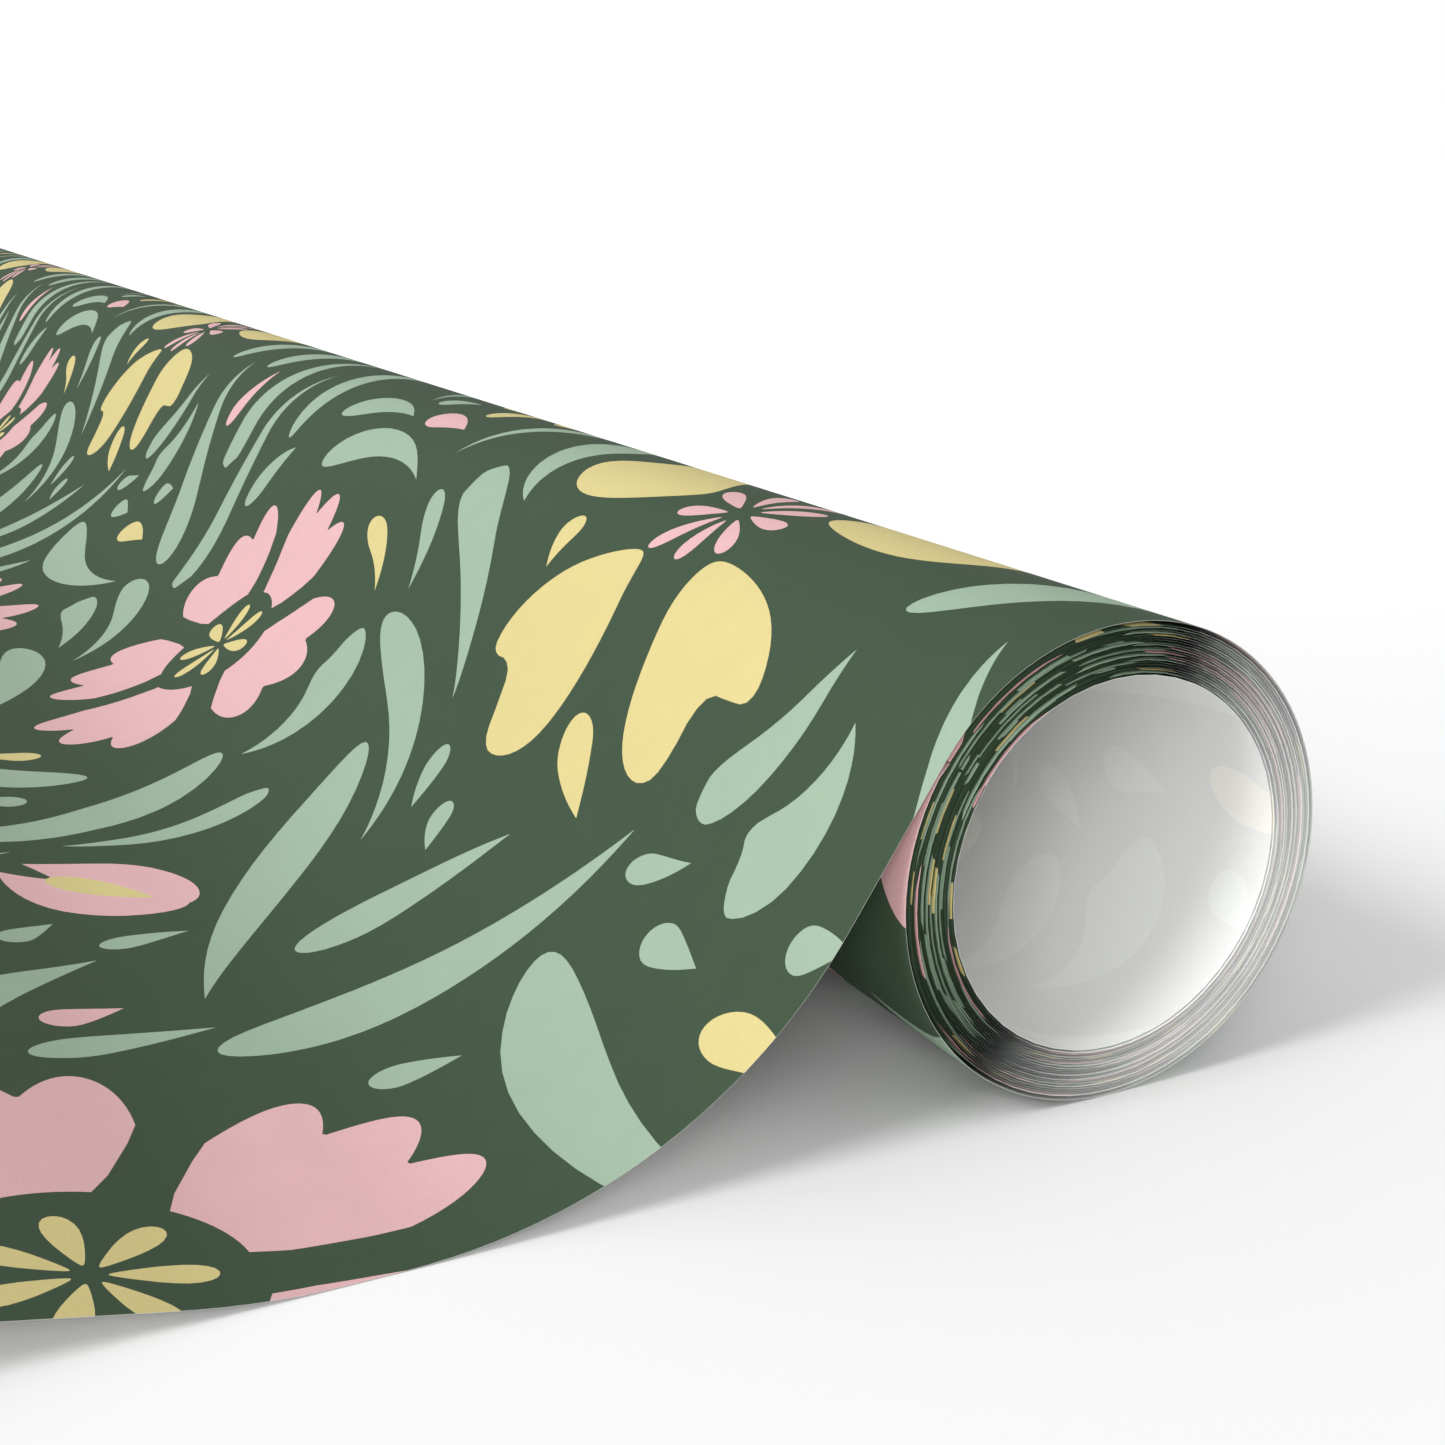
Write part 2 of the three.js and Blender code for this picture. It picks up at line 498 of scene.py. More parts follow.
@dataclass
class FloralRepeat:
    """One repeat of the floral print, which joins up with itself on all four sides."""

    length: float = 240.0
    width: float = 254.0
    seed: int = 14
    plantings: tuple[Planting, ...] = (
        Planting(Bloom.HEART_PETALLED, 58, 62, 0.15, 1.08, Ink.YELLOW, Ink.PINK),
        Planting(Bloom.SCALLOPED, 197, 5, 0.5, 1.1, Ink.PINK, Ink.YELLOW),
        Planting(Bloom.SCALLOPED, 8, 170, 1.1, 0.98, Ink.PINK, Ink.YELLOW),
        Planting(Bloom.HEART_PETALLED, 152, 146, 0.1, 0.95, Ink.YELLOW, Ink.PINK),
        Planting(Bloom.DAISY, 130, 58, 0.1, 1.05, Ink.PINK, Ink.YELLOW),
        Planting(Bloom.DAISY, 78, 148, 0.4, 0.95, Ink.YELLOW, Ink.PINK),
        Planting(Bloom.DAISY, 148, 222, 0.4, 0.85, Ink.YELLOW, Ink.PINK),
        Planting(Bloom.BUD, 222, 84, 2.3, 1.0, Ink.PINK, Ink.YELLOW),
        Planting(Bloom.BUD, 84, 224, -1.0, 0.9, Ink.PINK, Ink.YELLOW),
    )
    foliage: tuple[Foliage, ...] = (
        Foliage(54, 8.5, (0.5, 1.0), 500, 3.6, notched_share=0.4),
        Foliage(40, 8, (0.6, 1.3), 700, 3.3, notched_share=0.4),
        Foliage(27, 10, (1.5, 2.2), 500, 3.0, notched_share=0.7),
        Foliage(28, 6.8, (0.5, 1.1), 800, 2.8, notched_share=0.4),
        Foliage(17, 5.6, (0.2, 0.8), 600, 2.6, 0.4),
        Foliage(9, 4.2, (0.1, 0.4), 300, 2.6, 0.4),
    )
    marks: list[Mark] = field(default_factory=list)

    def __post_init__(self) -> None:
        """Plants the flowers and then fills the ground between them with leaves."""
        self._random = random.Random(self.seed)
        self._filled: list[np.ndarray] = []
        self._middles: list[np.ndarray] = []
        self._reaches: list[float] = []
        for planting in self.plantings:
            self._plant(planting)
        for foliage in self.foliage:
            self._scatter(foliage)

    def _nearest(self, offset: np.ndarray) -> np.ndarray:
        """The same offsets, measured to the nearest copy of the repeat."""
        size = np.array([self.length, self.width])
        return offset - size * np.round(offset / size)

    def _print(self, ink: Ink, outline: np.ndarray) -> None:
        """Adds a mark, anticlockwise, and points over its whole face that later leaves keep clear of.

        Args:
            ink: Its ink.
            outline: Its outline, before its corners are rounded.
        """
        outline = rounded(outline)
        ahead = np.roll(outline, -1, axis=0)
        clockwise = (outline[:, 0] * ahead[:, 1] - outline[:, 1] * ahead[:, 0]).sum() < 0
        self.marks.append(Mark(ink, outline[::-1] if clockwise else outline))
        middle = outline.mean(0)
        inner = [middle + (outline - middle) * share for share in (0.7, 0.4, 0.1)]
        self._filled.append(np.concatenate([outline, *inner]))
        self._middles.append(middle)
        self._reaches.append(float(np.hypot(*(outline - middle).T).max()))

    def _is_clear(self, outline: np.ndarray, gap: float) -> bool:
        """Tests a place for a leaf.

        Args:
            outline: The leaf's outline.
            gap: The ground it needs round it.

        Returns:
            Whether it keeps the gap to everything that is printed.
        """
        middle = outline.mean(0)
        reach = np.hypot(*(outline - middle).T).max()
        far = np.hypot(*self._nearest(np.array(self._middles) - middle).T)
        for index in np.nonzero(far < reach + np.array(self._reaches) + gap)[0]:
            offset = self._nearest(outline[:, None] - self._filled[index][None])
            if (offset**2).sum(2).min() < gap**2:
                return False
        return True

    def _ring(self, planting: Planting, ink: Ink, outlines: list[np.ndarray], turn: float) -> None:
        """Prints outlines in a ring round a flower's middle.

        Args:
            planting: The flower.
            ink: The outlines' ink.
            outlines: The outlines, each drawn along x from the middle.
            turn: The angle of the first, from the flower's own.
        """
        for index, outline in enumerate(outlines):
            angle = planting.angle + turn + TURN * index / len(outlines)
            self._print(ink, placed(outline, planting.x, planting.y, angle, planting.size))

    def _plant(self, planting: Planting) -> None:
        """Prints one flower.

        Args:
            planting: The flower and its place.
        """
        vary = self._random.uniform
        main, eye_ink = planting.ink, planting.eye_ink
        if planting.bloom is Bloom.HEART_PETALLED:
            petals = [
                heart_petal(29 * vary(0.88, 1.12), 25 * vary(0.9, 1.05), vary(0.16, 0.3), vary(-0.14, 0.14))
                for _ in range(5)
            ]
            self._ring(planting, main, [petal + [11, 0] for petal in petals], 0)
            stamens = [seed_drop(vary(7.0, 9.4), 3.6) + [2, 0] for _ in range(9)]
            self._ring(planting, eye_ink, stamens, 0.35)
        elif planting.bloom is Bloom.SCALLOPED:
            petals = [scalloped_petal(32 * vary(0.92, 1.08), 1.02, 3, 0.16) for _ in range(5)]
            self._ring(planting, main, petals, 0)
            self._ring(planting, eye_ink, [seed_drop(7.6, 3.8) + [1.2, 0] for _ in range(7)], 0.3)
        elif planting.bloom is Bloom.DAISY:
            petals = [seed_drop(12.5 * vary(0.9, 1.1), 7.4) + [5.2, 0] for _ in range(7)]
            self._ring(planting, main, petals, 0)
            self._print(eye_ink, placed(eye(3.3), planting.x, planting.y, 0, planting.size))
        else:
            for lean in (-0.42, 0.42):
                petal = brush_stroke(26, 10, -1.6 * lean, head=0.55)
                self._print(main, placed(petal, planting.x, planting.y, planting.angle + lean, planting.size))
            seed = seed_drop(15, 6.5) + [5, 0]
            self._print(eye_ink, placed(seed, planting.x, planting.y, planting.angle, planting.size))

    def _swirl(self, x: float, y: float) -> tuple[float, int]:
        """The way that the foliage runs at a point.

        Args:
            x: The point along the web.
            y: The point across it.

        Returns:
            The heading round the nearest large flower, and 1 or -1 for the way it turns.
        """
        large = [p for p in self.plantings if p.bloom in (Bloom.HEART_PETALLED, Bloom.SCALLOPED)]
        offsets = self._nearest(np.array([[x - p.x, y - p.y] for p in large]))
        index = int(np.hypot(*offsets.T).argmin())
        sense = (1, -1, -1, 1)[index]
        return math.atan2(offsets[index, 1], offsets[index, 0]) + sense, sense

    def _scatter(self, foliage: Foliage) -> None:
        """Prints leaves of one size wherever there is room for them.

        Args:
            foliage: Their size and how many are tried.
        """
        vary = self._random.uniform
        for _ in range(foliage.tries):
            x, y = vary(0, self.length), vary(0, self.width)
            heading, sense = self._swirl(x, y)
            bend = sense * vary(*foliage.bends)
            notch = vary(0.08, 0.13) if vary(0, 1) < foliage.notched_share else 0.0
            length, width = foliage.length * vary(0.85, 1.1), foliage.width * vary(0.8, 1.15)
            outline = brush_stroke(length, width, bend, notch=notch)
            outline = placed(outline, x, y, heading + self._random.gauss(0, 0.25))
            if self._is_clear(outline, foliage.gap):
                flower = vary(0, 1) < foliage.petal_share
                ink = self._random.choice((Ink.PINK, Ink.YELLOW)) if flower else Ink.SAGE
                self._print(ink, outline)

    def marks_over(self, low: np.ndarray, high: np.ndarray) -> list[Mark]:
        """The marks that reach into a rectangle of the web, from every copy of the repeat.

        Args:
            low: The rectangle's lowest corner, along and across.
            high: Its highest corner.

        Returns:
            The marks, each at its place.
        """
        size = np.array([self.length, self.width])
        first, last = np.floor(low / size).astype(int) - 1, np.ceil(high / size).astype(int)
        found = []
        for column in range(first[0], last[0] + 1):
            for row in range(first[1], last[1] + 1):
                for mark in self.marks:
                    outline = mark.outline + size * (column, row)
                    if (outline.max(0) > low).all() and (outline.min(0) < high).all():
                        found.append(Mark(mark.ink, outline))
        return found


# ---- Finishes -------------------------------------------------------------------------------


def linear(hex_colour: str) -> tuple[float, float, float, float]:
    """Turns an sRGB hex value to linear.

    Args:
        hex_colour: Six hex digits, such as "4B5E4B".

    Returns:
        The linear red, green, blue and an alpha of 1.
    """
    parts = (int(hex_colour[i : i + 2], 16) / 255 for i in (0, 2, 4))
    return (*((p / 12.92 if p <= 0.04045 else ((p + 0.055) / 1.055) ** 2.4) for p in parts), 1.0)


def add_node(
    tree: bpy.types.NodeTree, kind: str, inputs: dict | None = None, **settings: object
) -> bpy.types.Node:
    """Adds a node with its settings and links.

    Args:
        tree: The material's node tree.
        kind: The node's type, without ShaderNode before it.
        inputs: For each input, by name or number, the socket linked to it or its value. Numbers
            are for inputs that share a name: 0 to 2 are a Math node's values, 1 to 4 are a Map
            Range node's ends, from and to, and 6 and 7 are a Mix node's two colours.
        **settings: The node's own settings.

    Returns:
        The node.
    """
    made = tree.nodes.new(f"ShaderNode{kind}")
    for name, value in settings.items():
        setattr(made, name, value)
    for key, value in (inputs or {}).items():
        if isinstance(value, bpy.types.NodeSocket):
            tree.links.new(value, made.inputs[key])
        else:
            made.inputs[key].default_value = value
    return made


def new_material(name: str) -> tuple[bpy.types.Material, bpy.types.NodeTree]:
    """Makes an empty node material.

    Args:
        name: Its name.

    Returns:
        The material and its tree.
    """
    material = bpy.data.materials.new(name)
    material.use_nodes = True
    material.node_tree.nodes.clear()
    return material, material.node_tree


@dataclass(frozen=True)
class PrintedInks:
    """The four flat inks, as they dry on the sheet."""

    ground: str = "384A38"
    pink: str = "D0A6A9"
    yellow: str = "C7BA80"
    sage: str = "90A691"

    def socket(self, tree: bpy.types.NodeTree) -> bpy.types.NodeSocket:
        """Turns a face's ink into its flat colour.

        Args:
            tree: The material's node tree.

        Returns:
            The colour: one step of a ramp for each Ink, in its order.
        """
        share = 1 / len(Ink)
        ink = add_node(tree, "Attribute", attribute_name="ink")
        place = {0: ink.outputs["Fac"], 1: share, 2: share / 2}
        step = add_node(tree, "Math", place, operation="MULTIPLY_ADD")
        ramp = add_node(tree, "ValToRGB", {"Fac": step.outputs[0]})
        steps = ramp.color_ramp
        steps.interpolation = "CONSTANT"
        for _ in range(len(Ink) - len(steps.elements)):
            steps.elements.new(1.0)
        for index, colour in enumerate((self.ground, self.pink, self.yellow, self.sage)):
            steps.elements[index].position = index * share
            steps.elements[index].color = linear(colour)
        return ramp.outputs["Color"]


@dataclass(frozen=True)
class FlexoPrintedGiftWrap:
    """The printed face: light wood-pulp paper, printed by flexography in flat water-based inks.

    The inks soak in and dry matt, so the face shows flat colour with a faint mottle where the ink
    took unevenly, and the fine tooth of the sheet under it.

    Attributes:
        tooth_mm: The size of the sheet's tooth. Real tooth is about 0.1 mm, and it is drawn three
            times as coarse so that it shows.
        mottle_mm: The size of the patches where the ink took unevenly.
        cockle_mm: The size of the faint hollows that wet ink leaves in light paper.
    """

    inks: PrintedInks = PrintedInks()
    roughness: float = 0.74
    ior: float = 1.46
    gloss: float = 0.18
    tooth_mm: float = 0.3
    mottle_mm: float = 5.0
    cockle_mm: float = 38.0

    def build(self) -> bpy.types.Material:
        """Builds the printed face's material.

        Returns:
            The material.
        """
        material, tree = new_material("flexo_printed_gift_wrap")
        web = add_node(tree, "UVMap", uv_map="web").outputs["UV"]

        def uneven(size_mm: float, detail: float, roughness: float = 0.5) -> bpy.types.NodeSocket:
            """A random pattern of patches of one size over the web."""
            inputs = {"Vector": web, "Scale": 1 / size_mm, "Detail": detail, "Roughness": roughness}
            return add_node(tree, "TexNoise", inputs).outputs["Fac"]

        mottle, fibre = uneven(self.mottle_mm, 4.0), uneven(self.tooth_mm, 2.0, 0.6)
        took = add_node(tree, "MapRange", {"Value": mottle, 1: 0.3, 2: 0.7, 3: 0.985, 4: 1.015})
        grain = add_node(tree, "MapRange", {"Value": fibre, 1: 0.25, 2: 0.75, 3: 0.955, 4: 1.045})
        shade = add_node(tree, "Math", {0: took.outputs[0], 1: grain.outputs[0]}, operation="MULTIPLY")
        inked = {"Color": self.inks.socket(tree), "Value": shade.outputs[0]}
        tone = add_node(tree, "HueSaturation", inked)
        cockled = {"Height": uneven(self.cockle_mm, 1.0), "Strength": 0.12, "Distance": 0.8 * MM}
        hollows = add_node(tree, "Bump", cockled)
        toothed = {"Height": fibre, "Strength": 0.35, "Distance": 0.03 * MM, "Normal": hollows.outputs[0]}
        tooth = add_node(tree, "Bump", toothed)
        paper = add_node(
            tree,
            "BsdfPrincipled",
            {
                "Base Color": tone.outputs["Color"],
                "Normal": tooth.outputs[0],
                "Roughness": self.roughness,
                "IOR": self.ior,
                "Specular IOR Level": self.gloss,
            },
        )
        add_node(tree, "OutputMaterial", {"Surface": paper.outputs[0]})
        return material


@dataclass(frozen=True)
class UnprintedBack:
    """The white back of the sheet: bleached pulp, calendered and left bare.

    The paper is thin, so the print on the other side shows through as a faint ghost: a little
    darker behind the ground, and clear behind the flowers.

    Attributes:
        name: The material's name.
        white: The paper's colour. The copies inside the roll and on the leaf set it lighter and darker, as
            painted light and painted shade.
        show_through: The share of the print's colour that comes through.
        tooth_mm: The size of the sheet's tooth, drawn about three times as coarse as it is.
    """

    name: str = "calendered_white_paper_back"
    white: str = "F2F2F1"
    inks: PrintedInks = PrintedInks()
    show_through: float = 0.14
    roughness: float = 0.86
    ior: float = 1.46
    gloss: float = 0.2
    tooth_mm: float = 0.35

    def build(self) -> bpy.types.Material:
        """Builds the back's material.

        Returns:
            The material.
        """
        material, tree = new_material(self.name)
        seen_through = {"Factor": self.show_through, 6: linear(self.white), 7: self.inks.socket(tree)}
        ghost = add_node(tree, "Mix", seen_through, data_type="RGBA")
        web = add_node(tree, "UVMap", uv_map="web").outputs["UV"]
        pulp = {"Vector": web, "Scale": 1 / self.tooth_mm, "Detail": 2.0}
        fibre = add_node(tree, "TexNoise", pulp).outputs["Fac"]
        grain = add_node(tree, "MapRange", {"Value": fibre, 1: 0.25, 2: 0.75, 3: 0.98, 4: 1.0})
        tone = add_node(tree, "HueSaturation", {"Color": ghost.outputs[2], "Value": grain.outputs[0]})
        tooth = add_node(tree, "Bump", {"Height": fibre, "Strength": 0.3, "Distance": 0.03 * MM})
        paper = add_node(
            tree,
            "BsdfPrincipled",
            {
                "Base Color": tone.outputs["Color"],
                "Normal": tooth.outputs[0],
                "Roughness": self.roughness,
                "IOR": self.ior,
                "Specular IOR Level": self.gloss,
            },
        )
        add_node(tree, "OutputMaterial", {"Surface": paper.outputs[0]})
        return material


@dataclass(frozen=True)
class SlitPaperEdge:
    """The edge left by the slitting knife: bare fibre, with the ink dragged down over it.

    It is matt and painted a pale grey as painted shade, with a trace of the ink beside it, so a stack of
    turns reads as thin lines.

    Attributes:
        name: The material's name.
        fibre: The fibre's colour, painted grey as painted shade: a lighter grey inside the roll, and a darker
            grey along the leaf and the outer wrap.
        dragged_ink: The share of the fibre that the ink covers.
    """

    name: str
    fibre: str
    dragged_ink: float
    inks: PrintedInks = PrintedInks()
    roughness: float = 0.9

    def build(self) -> bpy.types.Material:
        """Builds the cut edge's material.

        Returns:
            The material.
        """
        material, tree = new_material(self.name)
        dragged = {"Factor": self.dragged_ink, 6: linear(self.fibre), 7: self.inks.socket(tree)}
        fluff = add_node(tree, "Mix", dragged, data_type="RGBA")
        bare = {"Base Color": fluff.outputs[2], "Roughness": self.roughness, "Specular IOR Level": 0.1}
        edge = add_node(tree, "BsdfPrincipled", bare)
        add_node(tree, "OutputMaterial", {"Surface": edge.outputs[0]})
        return material


@dataclass(frozen=True)
class MattSweep:
    """The studio's seamless floor: matt white card, painted paler behind and far off and given a painted glow
    there, a painted light that fades it to pure white.

    Attributes:
        near_white: Its colour in front.
        far_white: Its colour behind and far off, painted paler as painted light.
        pales_from: The row's y where it starts to pale, in metres.
        pales_to: The y where it is palest.
        far_from: The distance from the row's origin where it starts to pale all round.
        far_to: The distance where it is palest.
        painted_glow: The painted light that the card gives off there, an emission in place of background
            lamps.
        roughness: Its roughness.
    """

    near_white: str = "E8E8E8"
    far_white: str = "FCFCFC"
    pales_from: float = -0.36
    pales_to: float = 0.0
    far_from: float = 0.5
    far_to: float = 1.2
    painted_glow: float = 0.12
    roughness: float = 0.95

    def build(self) -> bpy.types.Material:
        """Builds the floor's material.

        Returns:
            The material.
        """
        material, tree = new_material("matt_white_sweep")
        where = add_node(tree, "TexCoord")
        parts = add_node(tree, "SeparateXYZ", {0: where.outputs["Object"]})
        reach = add_node(tree, "VectorMath", {0: where.outputs["Object"]}, operation="LENGTH")
        backward = {"Value": parts.outputs["Y"], 1: self.pales_from, 2: self.pales_to}
        behind = add_node(tree, "MapRange", backward)
        outward = {"Value": reach.outputs["Value"], 1: self.far_from, 2: self.far_to}
        far = add_node(tree, "MapRange", outward)
        # Painted light: the card is painted paler and glows behind and far off.
        pale = add_node(tree, "Math", {0: behind.outputs[0], 1: far.outputs[0]}, operation="MAXIMUM")
        painted_glow = add_node(tree, "Math", {0: pale.outputs[0], 1: self.painted_glow}, operation="MULTIPLY")
        whites = {"Factor": pale.outputs[0], 6: linear(self.near_white), 7: linear(self.far_white)}
        white = add_node(tree, "Mix", whites, data_type="RGBA")
        card = add_node(
            tree,
            "BsdfPrincipled",
            {
                "Base Color": white.outputs[2],
                "Roughness": self.roughness,
                "Specular IOR Level": 0.0,
                "Emission Color": (1, 1, 1, 1),
                "Emission Strength": painted_glow.outputs[0],
            },
        )
        add_node(tree, "OutputMaterial", {"Surface": card.outputs[0]})
        return material


# ---- The sheet ------------------------------------------------------------------------------


class Face(IntEnum):
    """The sides of the sheet, in the order of a piece's material slots."""

    PRINTED = 0
    BACK = 1
    EDGE = 2


@dataclass
class FlatCut:
    """A stretch of the flat web, cut into triangles along the print.

    Attributes:
        points: Each point's places along and across the web.
        triangles: Each triangle's points, anticlockwise.
        ink: Each triangle's ink.
    """

    points: np.ndarray
    triangles: np.ndarray
    ink: np.ndarray


@dataclass
class PaperStock:
    """The printed paper: it cuts stretches of the web and lays them on their route.

    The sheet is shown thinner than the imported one, because the knife presses its edge thin. The
    knife comes down on the back, so the edge is cut at a slant that faces the back.

    Attributes:
        route: The path of the web.
        winding: How far it strays from the path.
        repeat: Its print.
        printed: The printed face's material.
        back: The back's material.
        shown_thickness: The thickness that is shown, in millimetres.
        slant: How far in from the printed face's edge the back's edge is.
        print_shift: How far the print is shifted along the web and across it.
        row_step: The most millimetres across the web between two rows of points.
    """

    route: WebRoute
    winding: HandWound
    repeat: FloralRepeat
    printed: bpy.types.Material
    back: bpy.types.Material
    shown_thickness: float = 0.038
    slant: float = 0.0
    print_shift: tuple[float, float] = (-41.0, 128.0)
    row_step: float = 60.0

    def cut(self, start: float, end: float, folds: np.ndarray, printed_edge: float | None) -> FlatCut:
        """Cuts a stretch of the web along its folds and the outlines of its print.

        Args:
            start: Where it starts along the web.
            end: Where it ends.
            folds: Where it may bend, along the web.
            printed_edge: How far in from each side its print is cut, or None for all of it. The
                rest of a wound turn is covered by its neighbours.

        Returns:
            The cut stretch.
        """
        half = self.route.width / 2
        corners = [(start, -half), (end, -half), (end, half), (start, half)]
        points, edges, loops, inks = list(corners), [], [list(range(4))], [int(Ink.GROUND)]

        def crease(a: tuple[float, float], b: tuple[float, float]) -> None:
            """Adds a line to cut along."""
            edges.append((len(points), len(points) + 1))
            points.extend((a, b))

        for fold in folds:
            crease((fold, -half), (fold, half))
        for row in np.arange(-half, half, self.row_step)[1:]:
            crease((start, row), (end, row))
        inset = half if printed_edge is None else printed_edge
        shift = np.array(self.print_shift)
        seen = set()
        for low, high in ((-half, -half + inset), (half - inset, half)):
            for mark in self.repeat.marks_over(np.array([start, low]) - shift, np.array([end, high]) - shift):
                outline = mark.outline + shift
                first_point = tuple(np.round(outline[0], 3))
                if first_point in seen:  # both strips reach it
                    continue
                seen.add(first_point)
                loops.append(list(range(len(points), len(points) + len(outline))))
                inks.append(int(mark.ink))
                points.extend(map(tuple, outline))
        vectors = [Vector(point) for point in points]
        every_face = 0
        cut = delaunay_2d_cdt(vectors, edges, loops, every_face, WELD, True)
        made, _, faces, _, _, origins = cut
        kept = [i for i, origin in enumerate(origins) if 0 in origin]  # inside the stretch's own outline
        ink = np.array([inks[max(origins[i])] for i in kept], np.int32)
        flat = np.array([tuple(v) for v in made])
        triangles = np.array([faces[i] for i in kept])
        used, triangles = np.unique(triangles, return_inverse=True)
        flat, triangles = flat[used], triangles.reshape(-1, 3)
        a, b, c = (flat[triangles[:, i]] for i in range(3))
        area = (b[:, 0] - a[:, 0]) * (c[:, 1] - a[:, 1]) - (b[:, 1] - a[:, 1]) * (c[:, 0] - a[:, 0])
        triangles[area < 0] = triangles[area < 0][:, ::-1]
        return FlatCut(flat, triangles, ink)

    def surface(self, flat: np.ndarray) -> np.ndarray:
        """Lays flat points on the route, with the winding's unevenness.

        Args:
            flat: Places along and across the web.

        Returns:
            The back face's points, in millimetres.
        """
        x, z, nx, nz = self.route.back_face(flat[:, 0])
        lift, shift = self.winding.stray(self.route, flat[:, 0], flat[:, 1])
        return np.stack([x + nx * lift, flat[:, 1] + shift, z + nz * lift], 1)

    def normals(self, flat: np.ndarray) -> np.ndarray:
        """Takes the slope of the surface on either side of flat points.

        Args:
            flat: Places along and across the web.

        Returns:
            The printed face's normals.
        """
        step = 0.05  # millimetres, far less than a fold
        along = self.surface(flat + [step, 0]) - self.surface(flat - [step, 0])
        across = self.surface(flat + [0, step]) - self.surface(flat - [0, step])
        normal = np.cross(along, across)
        return normal / np.linalg.norm(normal, axis=1, keepdims=True)

    def lay(self, name: str, flat: FlatCut, edge: bpy.types.Material) -> bpy.types.Object:
        """Lays a cut stretch on its route, as a sheet with two faces and its edges.

        Args:
            name: The piece's name.
            flat: The cut stretch.
            edge: Its cut edges' material.

        Returns:
            The piece.
        """
        count = len(flat.points)
        back = self.surface(flat.points)
        normal = self.normals(flat.points)
        printed = back + normal * self.route.thickness
        shown_back = printed - normal * self.shown_thickness
        side = np.abs(flat.points[:, 1]) > self.route.width / 2 - self.slant / 2
        shown_back[:, 1] -= np.where(side, self.slant * np.sign(flat.points[:, 1]), 0)
        points = np.concatenate([printed, shown_back]) * MM
        sides = np.concatenate([flat.triangles[:, [i, (i + 1) % 3]] for i in range(3)])
        owner = np.tile(np.arange(len(flat.triangles)), 3)
        key = np.sort(sides, 1)
        _, first, uses = np.unique(key, axis=0, return_index=True, return_counts=True)
        rim, rim_owner = sides[first[uses == 1]], owner[first[uses == 1]]
        walls = np.stack([rim[:, 1], rim[:, 0], rim[:, 0] + count, rim[:, 1] + count], 1)
        fronts, backs = flat.triangles, flat.triangles[:, ::-1] + count
        mesh = bpy.data.meshes.new(name)
        mesh.from_pydata(points.tolist(), [], fronts.tolist() + backs.tolist() + walls.tolist())
        faces = [(Face.PRINTED, len(fronts)), (Face.BACK, len(backs)), (Face.EDGE, len(walls))]
        mesh.polygons.foreach_set("material_index", np.repeat([f for f, _ in faces], [n for _, n in faces]))
        ink = np.concatenate([flat.ink, flat.ink, flat.ink[rim_owner]]).astype(np.float32)
        mesh.attributes.new("ink", "FLOAT", "FACE").data.foreach_set("value", ink)
        corners = np.concatenate([fronts.ravel(), backs.ravel(), walls.ravel()])
        web = np.tile(flat.points, (2, 1))[corners]
        mesh.uv_layers.new(name="web").data.foreach_set("uv", web.astype(np.float32).ravel())
        facing = np.concatenate([normal, -normal])
        first_side, second_side = (points[walls[:, i]] - points[walls[:, 1]] for i in (0, 2))
        out = np.cross(first_side, second_side)
        out /= np.maximum(np.linalg.norm(out, axis=1, keepdims=True), 1e-12)
        faced = np.concatenate([facing[corners[: len(corners) - walls.size]], np.repeat(-out, 4, axis=0)])
        for material in (self.printed, self.back, edge):
            mesh.materials.append(material)
        mesh.polygons.foreach_set("use_smooth", np.ones(len(mesh.polygons), bool))
        mesh.update()
        mesh.normals_split_custom_set(faced.tolist())
        piece = bpy.data.objects.new(name, mesh)
        bpy.context.scene.collection.objects.link(piece)
        return piece

    def piece(
        self,
        name: str,
        start: float,
        end: float,
        fold: float,
        edge: bpy.types.Material,
        printed_edge: float | None = None,
    ) -> bpy.types.Object:
        """Cuts and lays one stretch of the web.

        Args:
            name: The piece's name.
            start: Where it starts along the web.
            end: Where it ends.
            fold: The most millimetres between two of its folds.
            edge: Its cut edges' material.
            printed_edge: How far in from each side its print is cut, or None for all of it.

        Returns:
            The piece.
        """
        count = max(1, math.ceil((end - start) / fold))
        folds = np.linspace(start, end, count + 1)[1:-1]
        made = self.lay(name, self.cut(start, end, folds, printed_edge), edge)
        log.info("%s: %.1f mm of web, %d faces", name, end - start, len(made.data.polygons))
        return made


# ---- Sub-assemblies -------------------------------------------------------------------------


